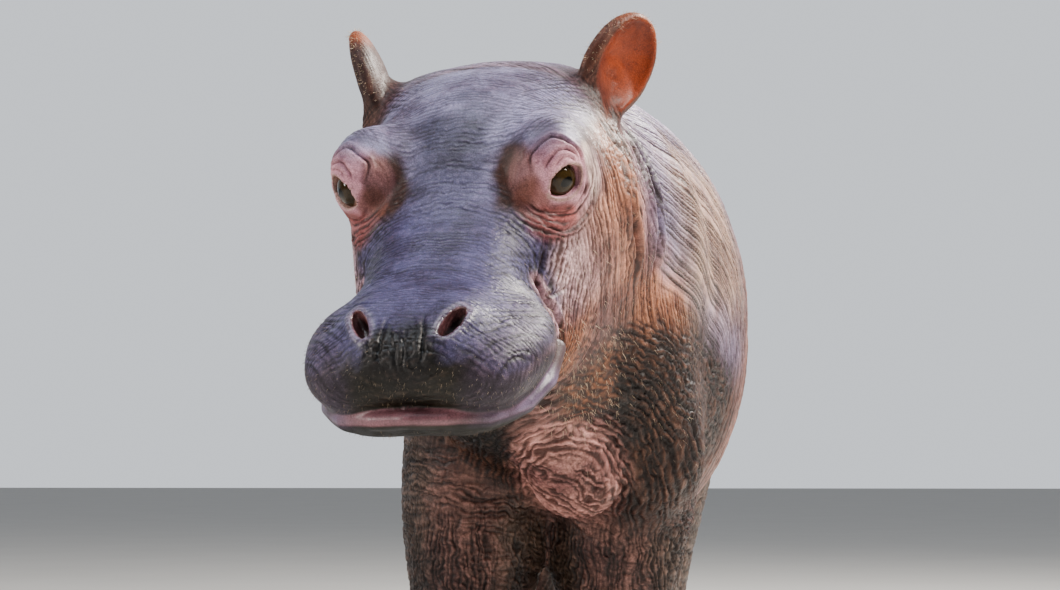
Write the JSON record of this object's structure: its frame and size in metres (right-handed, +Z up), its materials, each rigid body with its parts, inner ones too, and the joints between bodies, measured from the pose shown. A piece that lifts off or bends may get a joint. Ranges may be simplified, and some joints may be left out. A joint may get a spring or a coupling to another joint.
{
  "type": "hippopotamus calf",
  "caption": "Life-size still model of a young hippopotamus, standing with its head lowered and turned a little to its right.",
  "frame": {"origin": "on the ground under the middle of the animal's bounding box", "axes": "+Z up, the animal faces -Y, and its left side is towards +X"},
  "size_m": [0.3884, 1.2198, 0.6761],
  "materials": {
    "hide": "wrinkled, nearly hairless, slightly oily hide",
    "eye": "wet and clear",
    "nail": "worn horn"
  },
  "bodies": {
    "root": {"trunk": "hide", "neck": "hide", "head": "hide", "tail": "hide", "ear_left": "hide", "eye_left": "eye", "ear_right": "hide", "eye_right": "eye", "leg_front_left": "hide", "nail_front_left_1": "nail", "nail_front_left_2": "nail", "nail_front_left_3": "nail", "nail_front_left_4": "nail", "leg_front_right": "hide", "nail_front_right_1": "nail", "nail_front_right_2": "nail", "nail_front_right_3": "nail", "nail_front_right_4": "nail", "leg_hind_left": "hide", "nail_hind_left_1": "nail", "nail_hind_left_2": "nail", "nail_hind_left_3": "nail", "nail_hind_left_4": "nail", "leg_hind_right": "hide", "nail_hind_right_1": "nail", "nail_hind_right_2": "nail", "nail_hind_right_3": "nail", "nail_hind_right_4": "nail"}
  },
  "joints": []
}
